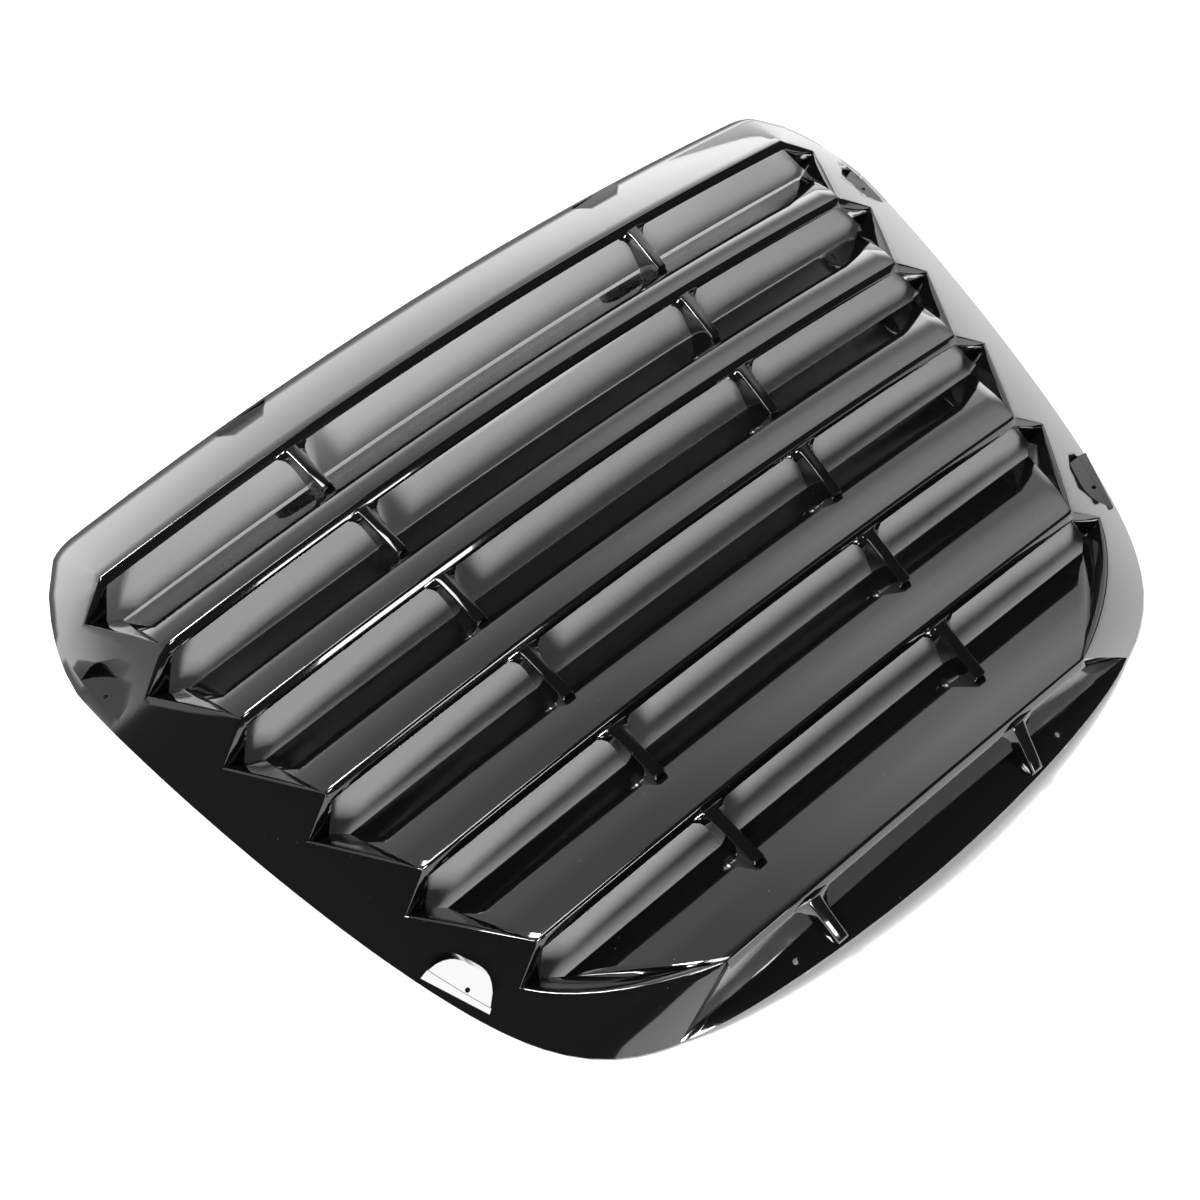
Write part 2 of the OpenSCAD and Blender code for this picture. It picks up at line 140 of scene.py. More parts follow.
class LouverForm:
    """The louver's surfaces as functions of place, the same ones that shape the CAD solid."""

    def __init__(self, sizes: LouverSizes) -> None:
        """Sets out the plan curves of the outline and of the crest ends.

        Args:
            sizes: the moulding's sizes in millimetres.
        """
        self.z = sizes
        self.corner_reach = (0.05, 0.13)
        self.half_l = sizes.overall_l / 2
        self.corner = Vector((534, self.half_l - sizes.roof_bow))
        widest = Vector((597, 281.5))
        turn = Vector((445, -278))
        self.join = Vector((306, -418))
        self.y1 = self.half_l - sizes.first_crest
        self.y0 = -self.half_l + sizes.last_crest
        self.pitch = (self.y1 - self.y0) / sizes.slats
        self.shoulder = [self.corner, Vector((574, 394)), Vector((599, 335)), widest]
        self.side = [widest, Vector((589, 208)), Vector((521, -108)), turn]
        self.tail = [turn, Vector((416, -341)), Vector((383, -395)), self.join]
        self.tail_edge = [self.join, Vector((245, -442)), Vector((104, -self.half_l)), Vector((0, -self.half_l))]
        self.line_in = [Vector((500, self.y1)), Vector((484, 204)), Vector((434, -109)), Vector((356, -275))]
        self.line_tail = [Vector((356, -275)), Vector((342, -318)), Vector((306, -370)), Vector((232, self.y0))]

    def arch(self, x: float) -> float:
        """Gives the drop of the sideways arch at x."""
        return math.sqrt(self.z.arch_r ** 2 - x * x) - self.z.arch_r

    def crest(self, x: float, y: float) -> float:
        """Gives the height of the surface that all crests lie on."""
        share = ease((y - self.y0) / (self.y1 - self.y0))
        return mixed(self.z.crest_tail, self.z.crest_roof, share) + self.arch(x)

    def in_x(self, y: float) -> float:
        """Gives the x of the line of crest ends."""
        return at_y(self.line_in if y > self.line_in[3].y else self.line_tail, y).x

    def rim_x(self, y: float) -> float:
        """Gives the x of the outline."""
        if y > self.side[0].y:
            return at_y(self.shoulder, y).x
        return at_y(self.side if y > self.tail[0].y else self.tail, y).x

    def tail_z(self, x: float) -> float:
        """Gives the underside height of the tail edge."""
        return max(0.0, self.z.tail_lift * (1 - (x / self.join.x) ** 2))

    def rim(self, t: float) -> Vector:
        """Gives the outline at t: 0 roof middle, 1 corner, 2 widest, 3 tail turn, 4 tail join."""
        lo, hi = 1 - self.corner_reach[0], 1 + self.corner_reach[1]
        if not lo < t < hi:
            return self.sharp_rim(t)
        q = (t - lo) / (hi - lo)
        return self.sharp_rim(lo) * (1 - q) ** 2 + self.sharp_rim(1) * (2 * q * (1 - q)) + self.sharp_rim(hi) * q * q

    def sharp_rim(self, t: float) -> Vector:
        """Gives the outline before its roof corners are rounded."""
        z = self.z
        if t <= 1:
            lift = z.corner_lift + self.arch(self.corner.x * t) - self.arch(self.corner.x)
            return Vector((self.corner.x * t, self.half_l - z.roof_bow * t * t, lift))
        if t <= 2:
            p = bend(self.shoulder, t - 1)
            return Vector((p.x, p.y, mixed(z.corner_lift, z.wall, ease(t - 1))))
        p = bend(self.side, t - 2) if t <= 3 else bend(self.tail, t - 3)
        return Vector((p.x, p.y, z.wall))

    def inner(self, t: float) -> Vector:
        """Gives the line of crest ends, and the first crest for t below 1."""
        z = self.z
        if t <= 1:
            x, y = self.line_in[0].x * t, self.y1 + z.crest_bow * (1 - t * t)
        elif t <= 3:
            y = mixed(self.y1, self.side[0].y + 2, (t - 1) ** 1.5) if t <= 2 else self.rim(t).y
            x = self.in_x(y)
        else:
            p = bend(self.line_tail, t - 3)
            x, y = p.x, p.y
        return Vector((x, y, self.crest(x, min(y, self.y1))))

    def swell(self, t: float, s: float) -> float:
        """Gives the swell of a band between its rim and its crest."""
        return 4 * s * (1 - s) * mixed(self.z.roof_swell, self.z.band_swell, ease(t - 1))

    def band_pt(self, t: float, s: float) -> Vector:
        """Gives the point at share s of the way from rim to crest line."""
        return mixed(self.rim(t), self.inner(t), s) + Vector((0, 0, self.swell(t, s)))

    def locate(self, x: float, y: float) -> tuple[float, float]:
        """Finds a plan point on the side band.

        Args:
            x: place across.
            y: place along.

        Returns:
            The way round t and the share s at which band_pt is over that point.
        """
        lo, hi = 1.0, 4.0
        p = Vector((x, y))
        for _ in range(44):
            m = (lo + hi) / 2
            a, b = self.rim(m).xy, self.inner(m).xy
            d, e = b - a, p - a
            if d.x * e.y - d.y * e.x > 0:
                lo = m
            else:
                hi = m
        t = (lo + hi) / 2
        a, b = self.rim(t).xy, self.inner(t).xy
        return t, min(1.0, max(0.0, (p - a).dot(b - a) / (b - a).length_squared))

    def crest_y(self, i: int) -> float:
        """Gives the y of crest i."""
        return self.y1 - (i - 1) * self.pitch

    def crest_end(self, i: int) -> Vector:
        """Gives the right end of crest i."""
        y = self.crest_y(i)
        x = self.in_x(y)
        return Vector((x, y, self.crest(x, y)))

    def tip(self, i: int) -> Vector:
        """Gives the outer tip of tooth gap i."""
        y = self.crest_y(i) - self.z.tooth_back
        x = mixed(self.in_x(y), self.rim_x(y), self.z.tooth_share)
        t, s = self.locate(x, y)
        return self.band_pt(t, s)

    def low_y(self, i: int) -> float:
        """Gives the y of the low edge of slat i."""
        return self.crest_y(i) - self.z.slat_gap + 0.15 * (i - 1)

    def low_end(self, i: int) -> Vector:
        """Gives the right end of the low edge of slat i."""
        y = self.low_y(i)
        x = self.in_x(y) + 13
        return Vector((x, y, self.crest(x, y) - self.z.slat_drop))

    def bow(self, i: int, u: float) -> float:
        """Gives how far crest i bows towards the roof at share u of its half width."""
        return self.z.crest_bow * (1 - (i - 1) / self.z.slats) * (1 - u * u)

    def heel(self, i: int) -> Vector:
        """Gives the deep inner corner under the tip of gap i."""
        return self.tip(i) + Vector((-self.z.draft_x, -1, -self.z.draft_z))

    def pocket(self, i: int, v: float) -> Vector:
        """Gives the curved long edge of the last gap in plan."""
        b, c = self.tip(i).xy, self.crest_end(i + 1).xy - Vector((1.0, 0.4))
        return bend([b, b + Vector((-30, -42)), Vector((300, -375)), c], v)

    def foot_pt(self, i: int, v: float, k: float = 0.2) -> Vector:
        """Gives the foot of a gap's long wall, from its heel along the slat's end to the crest."""
        if v < k:
            return mixed(self.heel(i), self.low_end(i), v / k)
        return mixed(self.low_end(i), self.crest_end(i + 1), (v - k) / (1 - k))

    def slat_pt(self, i: int, u: float, s: float) -> Vector:
        """Gives a point of slat i, with u across and s from its low edge up to crest i + 1."""
        a, b = self.low_end(i), self.crest_end(i + 1)
        e = mixed(a, b, s)
        x = (e.x + 0.7) * u
        za, zb = a.z + self.arch(x) - self.arch(a.x), self.crest(x, b.y)
        return Vector((x, e.y + self.bow(i + 1, u) * min(1.0, s), mixed(za, zb, s) + self.crown(s)))

    def crown(self, s: float) -> float:
        """Gives how far a slat's section stands over the straight line from its low edge to its crest."""
        return 4 * self.z.slat_crown * s * (1 - s) - self.z.slat_flat * math.sin(2 * math.pi * s)

    def slat_z(self, i: int, x: float, y: float) -> float:
        """Gives the height of slat i over a plan point."""
        a, b = self.low_end(i), self.crest_end(i + 1)
        s = (a.y - y) / (a.y - b.y)
        return mixed(a.z + self.arch(x) - self.arch(a.x), self.crest(x, b.y), s) + self.crown(s)


def rounded(a: Vector, e: Vector, b: Vector, reach: float) -> Row:
    """Gives points on the rounding of a corner.

    Args:
        a: the point before the corner.
        e: the corner.
        b: the point after it.
        reach: how far the rounding goes along each side.

    Returns:
        Five points from the side of a to the side of b.
    """
    p = e + (a - e).normalized() * min(reach, 0.45 * (a - e).length)
    q = e + (b - e).normalized() * min(reach, 0.45 * (b - e).length)
    return [p * (1 - t) ** 2 + e * (2 * t * (1 - t)) + q * t * t for t in (0, 0.25, 0.5, 0.75, 1)]


def deselect() -> None:
    """Clears the selection, so that an operator acts on the new piece alone."""
    for ob in bpy.context.selected_objects:
        ob.select_set(False)


def pick(ob: bpy.types.Object) -> None:
    """Makes one object the selected and active one."""
    deselect()
    ob.select_set(True)
    bpy.context.view_layer.objects.active = ob


def edit(ob: bpy.types.Object) -> None:
    """Opens a piece in edit mode with all of it selected."""
    pick(ob)
    bpy.ops.object.mode_set(mode="EDIT")
    bpy.ops.mesh.select_mode(type="VERT")
    bpy.ops.mesh.select_all(action="SELECT")


def done() -> None:
    """Leaves edit mode."""
    bpy.ops.object.mode_set(mode="OBJECT")


def lay_grid(name: str, rows: list[Row], ring: bool = False) -> bpy.types.Object:
    """Lays a grid primitive over rows of points.

    Args:
        name: the piece's name.
        rows: equally long rows of points in millimetres.
        ring: whether each row closes on itself, so that the piece is a body with two ends.

    Returns:
        The piece, merged, with its faces turned outwards.
    """
    rows = [r + [r[0]] for r in rows] if ring else rows
    nx, ny = len(rows[0]) - 1, len(rows) - 1
    deselect()
    bpy.ops.mesh.primitive_grid_add(x_subdivisions=nx, y_subdivisions=ny, size=2)
    ob = bpy.context.object
    ob.name = name
    ob.data.name = name
    for v in ob.data.vertices:
        v.co = rows[round((v.co.y + 1) / 2 * ny)][round((v.co.x + 1) / 2 * nx)] * MM
    edit(ob)
    bpy.ops.mesh.remove_doubles(threshold=0.00002)
    bpy.ops.mesh.dissolve_degenerate(threshold=0.00001)
    if ring:
        bpy.ops.mesh.select_all(action="DESELECT")
        bpy.ops.mesh.select_non_manifold()
        bpy.ops.mesh.fill_holes(sides=0)
        bpy.ops.mesh.select_all(action="SELECT")
    bpy.ops.mesh.normals_make_consistent(inside=False)
    done()
    if not ring and sum(p.normal.z * p.area for p in ob.data.polygons) < 0:
        edit(ob)
        bpy.ops.mesh.flip_normals()
        done()
    return ob


def apply(ob: bpy.types.Object, kind: str, **values) -> None:
    """Adds a modifier with the given values and applies it."""
    pick(ob)
    mod = ob.modifiers.new(kind.lower(), kind)
    for key, value in values.items():
        setattr(mod, key, value)
    bpy.ops.object.modifier_apply(modifier=mod.name)


def thicken(ob: bpy.types.Object, wall: float) -> None:
    """Gives an open sheet its wall, on the side away from its faces."""
    apply(ob, "SOLIDIFY", thickness=wall * MM, offset=-1, use_rim=True)


def round_edges(ob: bpy.types.Object, width: float, segments: int = 3, angle: float = 28) -> None:
    """Rounds the sharp edges of a piece and shades the rest smooth.

    Args:
        ob: the piece.
        width: reach of the rounding in millimetres.
        segments: steps of the rounding.
        angle: edges that turn less than this many degrees are left.
    """
    apply(ob, "BEVEL", width=width * MM, segments=segments, limit_method="ANGLE",
          angle_limit=math.radians(angle), use_clamp_overlap=True)
    pick(ob)
    bpy.ops.object.shade_smooth_by_angle(angle=math.radians(38))


def cut(ob: bpy.types.Object, body: bpy.types.Object, how: Cut) -> None:
    """Joins, takes out or keeps what a second body covers, and removes that body."""
    apply(ob, "BOOLEAN", object=body, operation=how.value, solver="EXACT")
    bpy.data.objects.remove(body)


def mirror_row(row: Row, side: Side) -> Row:
    """Gives a row of points on the wanted side."""
    return [Vector((p.x * side.value, p.y, p.z)) for p in row]


@dataclass(frozen=True)
class GlossBlack:
    """Gloss black moulded plastic with faint mould ripple and a few specks of dust."""

    colour: tuple[float, float, float, float] = (0.0026, 0.0026, 0.0028, 1)
    roughness_low: float = 0.05
    roughness_high: float = 0.10
    coat: float = 1.0
    coat_roughness: float = 0.02
    ripple: float = 0.005
    speck: float = 0.35

    def material(self) -> bpy.types.Material:
        """Builds the node material.

        Returns:
            The finished material, which reads object coordinates only.
        """
        mat = bpy.data.materials.new("gloss_black_plastic")
        mat.use_nodes = True
        tree = mat.node_tree
        shade = tree.nodes["Principled BSDF"]
        place = tree.nodes.new("ShaderNodeTexCoord")
        shade.inputs["IOR"].default_value = 1.5
        shade.inputs["Coat Weight"].default_value = self.coat
        shade.inputs["Coat Roughness"].default_value = self.coat_roughness
        shade.inputs["Coat IOR"].default_value = 1.5

        def node(kind: str, **inputs) -> bpy.types.Node:
            """Adds a node with values set on its sockets."""
            made = tree.nodes.new(kind)
            for key, value in inputs.items():
                made.inputs[key.replace("_", " ")].default_value = value
            return made

        haze = node("ShaderNodeTexNoise", Scale=9.0, Detail=4.0)
        spread = node("ShaderNodeMapRange", To_Min=self.roughness_low, To_Max=self.roughness_high)
        dots = node("ShaderNodeTexVoronoi", Scale=60.0)
        small = node("ShaderNodeMapRange", From_Min=0.012, From_Max=0.035, To_Min=self.speck, To_Max=0.0)
        tint = tree.nodes.new("ShaderNodeMix")
        tint.data_type = "RGBA"
        tint.inputs[6].default_value = self.colour
        tint.inputs[7].default_value = (0.5, 0.5, 0.49, 1)
        peel = node("ShaderNodeTexNoise", Scale=26.0, Detail=2.0)
        bump = node("ShaderNodeBump", Strength=self.ripple, Distance=0.01)
        link = tree.links.new
        for tex in (haze, dots, peel):
            link(place.outputs["Object"], tex.inputs["Vector"])
        link(haze.outputs["Fac"], spread.inputs["Value"])
        link(spread.outputs["Result"], shade.inputs["Roughness"])
        link(dots.outputs["Distance"], small.inputs["Value"])
        link(small.outputs["Result"], tint.inputs[0])
        link(tint.outputs[2], shade.inputs["Base Color"])
        link(peel.outputs["Fac"], bump.inputs["Height"])
        link(bump.outputs["Normal"], shade.inputs["Normal"])
        return mat


@dataclass
class BandShell:
    """Roof band, side bands with their saw teeth, and the walls that hang from the teeth."""

    form: LouverForm
    shares: tuple[float, ...] = (0, 0.16, 0.34, 0.52, 0.7, 0.86, 1)
    roof_rows: int = 40
    edge_round: float = 2.3

    def row(self, x: float, y: float, walls: Row) -> Row:
        """Gives one row from the rim to an edge point, and on down its wall."""
        t, s = self.form.locate(x, y)
        return self.finished([self.form.band_pt(t, s * k) for k in self.shares], walls)

    def finished(self, band: Row, walls: Row) -> Row:
        """Joins a row of the band to its wall with a rounded edge."""
        return band[:-1] + rounded(band[-2], band[-1], walls[0], self.edge_round) + walls

    def roof(self) -> list[Row]:
        """Gives the rows of the right half of the roof band, with the lip under its crest."""
        f, z = self.form, self.form.z
        rows = []
        for k in range(self.roof_rows):
            t = k / self.roof_rows
            e = f.inner(t)
            lip = Vector((0, -z.lip_y, -z.lip_z))
            rows.append(self.finished([f.band_pt(t, s) for s in self.shares], [e + lip * 0.7, e + lip, e + lip]))
        end, lip = f.crest_end(1), Vector((-0.4, -z.lip_y, -z.lip_z))
        for t in (1, 1.02, 1.045, 1.075):
            band = [mixed(f.rim(t), end, s) + Vector((0, 0, f.swell(t, s))) for s in self.shares]
            rows.append(self.finished(band, [end + lip * 0.7, end + lip, end + lip]))
        return rows

    def short_wall(self, i: int) -> list[Row]:
        """Gives the rows from crest end i out to the tip of its gap."""
        f, z = self.form, self.form.z
        a, b = f.crest_end(i), f.tip(i)
        lip = a + Vector((-0.4, -z.lip_y, -z.lip_z))
        g = b + Vector((-z.edge_w - 0.6, -0.4 * z.edge_w, -z.edge_h - 1.5))
        rows = []
        for v in (0, 0.12, 0.36, 0.64, 0.88, 1):
            e = mixed(a, b, v)
            top, low = mixed(lip, g, v), mixed(lip, f.heel(i), v)
            t, s = f.locate(e.x, e.y)
            e = f.band_pt(t, s)
            if i > 1 or v > 0:
                rows.append(self.row(e.x, e.y, [mixed(e, top, 0.7), top, low]))
        return rows

    def long_wall(self, i: int) -> list[Row]:
        """Gives the rows from the tip of gap i to the next crest end."""
        f, z = self.form, self.form.z
        last = i == z.slats
        b, c = f.tip(i), f.crest_end(i + 1)
        steps = (0.06, 0.13, 0.22, 0.32, 0.44, 0.56, 0.68, 0.79, 0.88, 0.95) if last else (0.08, 0.2, 0.4, 0.6, 0.8, 0.93)
        rows = []
        for v in steps:
            if last:
                e, near = f.pocket(i, v), f.pocket(i, v + 0.01)
            else:
                e, near = mixed(b, c, v).xy, c.xy
            d = (near - e).normalized()
            out = Vector((-d.y, d.x, 0))
            t, s = f.locate(e.x, e.y)
            top, foot = f.band_pt(t, s), f.foot_pt(i, v) + Vector((0.4, 0, 0))
            w = min(z.edge_w, 0.6 * (top.xy - foot.xy).length)
            g = top - out * w - Vector((0, 0, min(z.edge_h, 0.6 * max(0.0, top.z - foot.z)) + 0.3))
            sag = 18 * v * (1 - v) if last else 0.0
            rows.append(self.row(e.x, e.y, [g, mixed(g, foot, 0.1), foot]))
            if last:
                rows[-1].insert(-1, mixed(g, foot, 0.33) - Vector((0, 0, 0.8 * sag)))
                rows[-1].insert(-1, mixed(g, foot, 0.66) - Vector((0, 0, 0.7 * sag)))
            else:
                rows[-1].insert(-1, mixed(g, foot, 0.33))
                rows[-1].insert(-1, mixed(g, foot, 0.66))
        end = self.row(c.x, c.y, [c] * 5)
        rows.append(end)
        return rows

    def rows(self) -> list[Row]:
        """Gives all rows from the left tail join round the roof to the right one."""
        right = self.roof()
        for i in range(1, self.form.z.slats + 1):
            right += self.short_wall(i) + self.long_wall(i)
        wide = max(len(r) for r in right)
        for r in right:
            while len(r) < wide:
                r.insert(-1, mixed(r[-2], r[-1], 0.5))
        left = [mirror_row(r, Side.LEFT) for r in reversed(right[1:])]
        return left + right

    def build(self) -> bpy.types.Object:
        """Builds the shell with its wall.

        Returns:
            The closed shell, before its pads are cut.
        """
        ob = lay_grid("band_shell", self.rows())
        thicken(ob, self.form.z.wall)
        for v in ob.data.vertices:
            if v.co.z < 0.0014:
                v.co.z = 0
        return ob


@dataclass
class ScrewPad:
    """A D shaped seat for a screw, sunk into a band."""

    form: LouverForm
    name: str
    place: tuple[float, float]
    turn: float
    height: float
    depth: float
    hole: tuple[float, float]
    hollow: bool = False

    def plan(self, length: float, depth: float, grow: float) -> list[Vector]:
        """Gives the pad seen from above, in its own axes."""
        a, h = length / 2 + grow, depth + grow
        points = [Vector((a, -grow)), Vector((-a, -grow))]
        for k in range(17):
            q = -1 + k / 8
            points.append(Vector((a * math.copysign(abs(q) ** 0.8, q), h * (1 - abs(q) ** 3.2) ** 0.6)))
        return points

    def prism(self, plan: list[Vector], low: float, high: float, side: Side) -> bpy.types.Object:
        """Makes an upright body over a plan, on the wanted side."""
        turn = math.radians(self.turn)
        ring = []
        for p in plan:
            x = self.place[0] + p.x * math.cos(turn) - p.y * math.sin(turn)
            y = self.place[1] + p.x * math.sin(turn) + p.y * math.cos(turn)
            ring.append(Vector((x * side.value, y, 0)))
        rows = [[p + Vector((0, 0, z)) for p in ring] for z in (low, high)]
        return lay_grid("pad_body", rows, ring=True)

    def boss(self, side: Side, under: bpy.types.Object) -> bpy.types.Object:
        """Makes the pad's floor and wall, kept under the band's surface."""
        wall = self.form.z.wall
        length = self.form.z.pad_l
        body = self.prism(self.plan(length, self.depth, wall), self.height - wall, self.height + 60, side)
        copy = under.copy()
        copy.data = under.data.copy()
        bpy.context.collection.objects.link(copy)
        cut(body, copy, Cut.KEEP_INSIDE)
        if self.hollow:
            skirt = self.prism(self.plan(length + 1, self.depth, 0.5), 0.8, self.height - 0.4, side)
            cut(body, skirt, Cut.JOIN)
            inside = self.prism([p + Vector((0, wall)) for p in self.plan(length - 2 * wall, self.depth - 2 * wall, 0)],
                                -1, self.height - wall, side)
            cut(body, inside, Cut.TAKE_OUT)
        return body

    def recess(self, side: Side) -> bpy.types.Object:
        """Makes the body that opens the recess over the pad."""
        return self.prism(self.plan(self.form.z.pad_l, self.depth, 0), self.height, self.height + 60, side)

    def bore(self, side: Side) -> bpy.types.Object:
        """Makes the body of the screw hole."""
        turn = math.radians(self.turn)
        x = self.place[0] + self.hole[0] * math.cos(turn) - self.hole[1] * math.sin(turn)
        y = self.place[1] + self.hole[0] * math.sin(turn) + self.hole[1] * math.cos(turn)
        return bore(x * side.value, y, self.height, self.form.z.hole_d)


def bore(x: float, y: float, z: float, d: float) -> bpy.types.Object:
    """Makes the body of a round screw hole at a place in millimetres."""
    deselect()
    bpy.ops.mesh.primitive_cylinder_add(vertices=28, radius=d / 2 * MM, depth=0.04, location=(x * MM, y * MM, z * MM))
    ob = bpy.context.object
    bpy.ops.object.transform_apply(location=True, rotation=True, scale=True)
    return ob


@dataclass
class Bands:
    """The band shell with its six screw pads cut and joined."""

    form: LouverForm
    finish: bpy.types.Material
    pads: list[ScrewPad] = field(default_factory=list)

    def __post_init__(self) -> None:
        """Sets out one pad of each kind."""
        z = self.form.z
        roof_z = self.form.rim(z.roof_pad_x / self.form.corner.x).z + 1.5
        self.pads = [
            ScrewPad(self.form, "roof", (z.roof_pad_x, self.form.half_l - 6.5), 180, roof_z, z.roof_pad_d, (0, 13)),
            ScrewPad(self.form, "upper", (580.5, 251), 83, z.upper_pad_z, z.pad_d, (-1, 9.3)),
            ScrewPad(self.form, "lower", (446.5, -254), 64.2, z.lower_pad_z, z.pad_d, (-8.4, 9.8), True),
        ]

    def under(self) -> bpy.types.Object:
        """Makes the filled body under the band's surface, from which the pads' walls are kept."""
        f = self.form
        ts = [k / 12 for k in range(12)] + [1 + k / 10 for k in range(31)]
        rows = []
        for t in [-t for t in reversed(ts[1:])] + ts:
            side = Side.LEFT if t < 0 else Side.RIGHT
            top = [f.band_pt(abs(t), s) - Vector((0, 0, 0.5)) for s in (0, 0.25, 0.5, 0.75, 1)]
            low = [Vector((p.x, p.y, -1)) for p in reversed(top)]
            rows.append(mirror_row(top + low, side))
        return lay_grid("under_band", rows, ring=True)

    def build(self) -> list[bpy.types.Object]:
        """Builds the bands.

        Returns:
            The one finished piece, in a list.
        """
        shell = BandShell(self.form).build()
        under = self.under()
        for pad in self.pads:
            for side in Side:
                cut(shell, pad.boss(side, under), Cut.JOIN)
                cut(shell, pad.recess(side), Cut.TAKE_OUT)
                cut(shell, pad.bore(side), Cut.TAKE_OUT)
        bpy.data.objects.remove(under)
        round_edges(shell, 0.5, 2, 50)
        return [shell]


@dataclass
class Slats:
    """The full width slats, each from its low edge up to the next crest, with the lip behind it."""

    form: LouverForm
    finish: bpy.types.Material
    across: int = 72
    edge_round: float = 2.5
    low_round: float = 1.8

    def section(self, i: int, u: float) -> Row:
        """Gives one section of slat i, from the low edge to the end of the lip."""
        f, z = self.form, self.form.z
        low = f.slat_pt(i, u, 0)
        row = [f.slat_pt(i, u, s) for s in (0, 0.12, 0.3, 0.5, 0.7, 0.88, 1)]
        under = low + Vector((0, -0.4, -4.2))
        end = row[-1]
        lip = end + Vector((0, -z.lip_y, -z.lip_z))
        top = rounded(row[-2], end, lip, self.edge_round)
        return [under] + rounded(under, low, row[1], self.low_round) + row[1:-1] + top + [mixed(end, lip, 0.7), lip]

    def build(self) -> list[bpy.types.Object]:
        """Builds the slats.

        Returns:
            One piece for each slat.
        """
        made = []
        for i in range(1, self.form.z.slats + 1):
            rows = [self.section(i, -1 + 2 * k / self.across) for k in range(self.across + 1)]
            ob = lay_grid(f"slat_{i}", rows)
            thicken(ob, self.form.z.wall)
            round_edges(ob, 0.6, 2, 50)
            made.append(ob)
        return made


@dataclass
class Ribs:
    """The short ribs in pairs, from a lip down on to the next slat."""

    form: LouverForm
    finish: bpy.types.Material
    edge_round: float = 1.9

    def stations(self, i: int) -> list[Row]:
        """Gives the cross rings of the right rib of opening i."""
        f, z = self.form, self.form.z
        last = i > z.slats
        x0 = z.rib_x - (i - 1) * z.rib_step
        y0 = f.crest_y(i) - z.lip_y + f.bow(i, x0 / f.crest_end(i).x)
        zl = f.crest(x0, f.crest_y(i)) - z.lip_z
        y1 = -f.half_l + 9 if last else y0 - z.rib_l
        x1 = x0 - 0.1 * (y0 - y1)
        ym = mixed(y0, y1, 0.45) if last else f.low_y(i) - 1
        z1 = f.tail_z(x1) + 14 if last else f.slat_z(i, x1, y1) + z.rib_end_h
        zm = f.tail_z(x1) + 12 if last else f.slat_z(i, x0, ym) - 1.4 * z.wall
        ze = f.tail_z(x1) + 1.5 if last else f.slat_z(i, x1, y1) - z.wall / 2
        w, r = z.rib_w / 2, z.rib_r
        flare = w + z.rib_flare / 2
        steps = []
        for k in range(6):
            q = math.radians(k * 18)
            steps.append((y0 + (1.8 if k == 0 else 0) - r * (1 - math.cos(q)), flare + r * (1 - math.sin(q))))
        steps += [(ym, mixed(flare, w + 2, 0.5 if last else 0.25)), (y1, w + 0.6)]
        rows = []
        for k, (y, reach) in enumerate(steps):
            q = (y0 - y) / (y0 - y1)
            x, zt = mixed(x0, x1, q), mixed(zl + 0.45 * z.lip_z, z1, q)
            zb = mixed(zl - 1, zm, (y0 - y) / (y0 - ym)) if y > ym else ze if k == len(steps) - 1 else zm
            rows.append([Vector(p) for p in (
                (x - reach, y, zb), (x - w, y, zt), (x + w, y, zt), (x + reach, y, zb),
                (x + reach / 2, y, zb - 2), (x - reach / 2, y, zb - 2))])
        return rows

    def build(self) -> list[bpy.types.Object]:
        """Builds the ribs.

        Returns:
            One piece for each rib.
        """
        made = []
        for i in range(1, self.form.z.slats + 2):
            for side in Side:
                rows = [mirror_row(r, side) for r in self.stations(i)]
                ob = lay_grid(f"rib_{i}_{side.name.lower()}", rows, ring=True)
                round_edges(ob, self.edge_round, 3, 30)
                made.append(ob)
        return made


@dataclass
class Tail:
    """The flange along the tail and the walls that close the last opening at its sides."""

    form: LouverForm
    finish: bpy.types.Material
    steps: int = 22

    def flange(self) -> bpy.types.Object:
        """Builds the flange with its two screw holes."""
        f, z = self.form, self.form.z
        inner_y = f.y0 - 18.5
        rows = []
        for k in range(-self.steps, self.steps + 1):
            q, sign = 1.02 * abs(k) / self.steps, -1 if k < 0 else 1
            o, x = bend(f.tail_edge, 1 - q), mixed(0, 252, q)
            low = f.tail_z(o.x) + z.wall
            high = low + 14 - 3 * q
            rows.append([
                Vector((sign * o.x, o.y, low)),
                Vector((sign * mixed(o.x, x, 0.5), mixed(o.y, inner_y, 0.5), mixed(low, high, 0.5) + 1)),
                Vector((sign * x, inner_y, high))])
        ob = lay_grid("tail_flange", rows)
        thicken(ob, z.wall)
        for side in Side:
            cut(ob, bore(side.value * z.tail_hole_x, -432, 20, z.hole_d), Cut.TAKE_OUT)
        round_edges(ob, 1.1)
        return ob

    def side_wall(self, side: Side) -> bpy.types.Object:
        """Builds the wall from the last crest end to the rim."""
        f, z = self.form, self.form.z
        a = f.crest_end(z.slats + 1)
        b = Vector((f.join.x + 2.2, f.join.y + 2.6, z.wall + 0.3))
        rows = []
        for k in range(11):
            p = mixed(a, b, k / 10) + Vector((1, 1.3, -1.3))
            h = 36 * math.sin(math.radians(25 + 14 * k))
            low = Vector((p.x - 3, p.y - 3, max(0.6, p.z - h)))
            rows.append([p, mixed(p, low, 0.5), low])
        ob = lay_grid(f"tail_wall_{side.name.lower()}", [mirror_row(r, side) for r in rows])
        thicken(ob, z.wall)
        round_edges(ob, 0.9)
        return ob

    def build(self) -> list[bpy.types.Object]:
        """Builds the tail pieces.

        Returns:
            The flange and its two side walls.
        """
        return [self.flange()] + [self.side_wall(side) for side in Side]


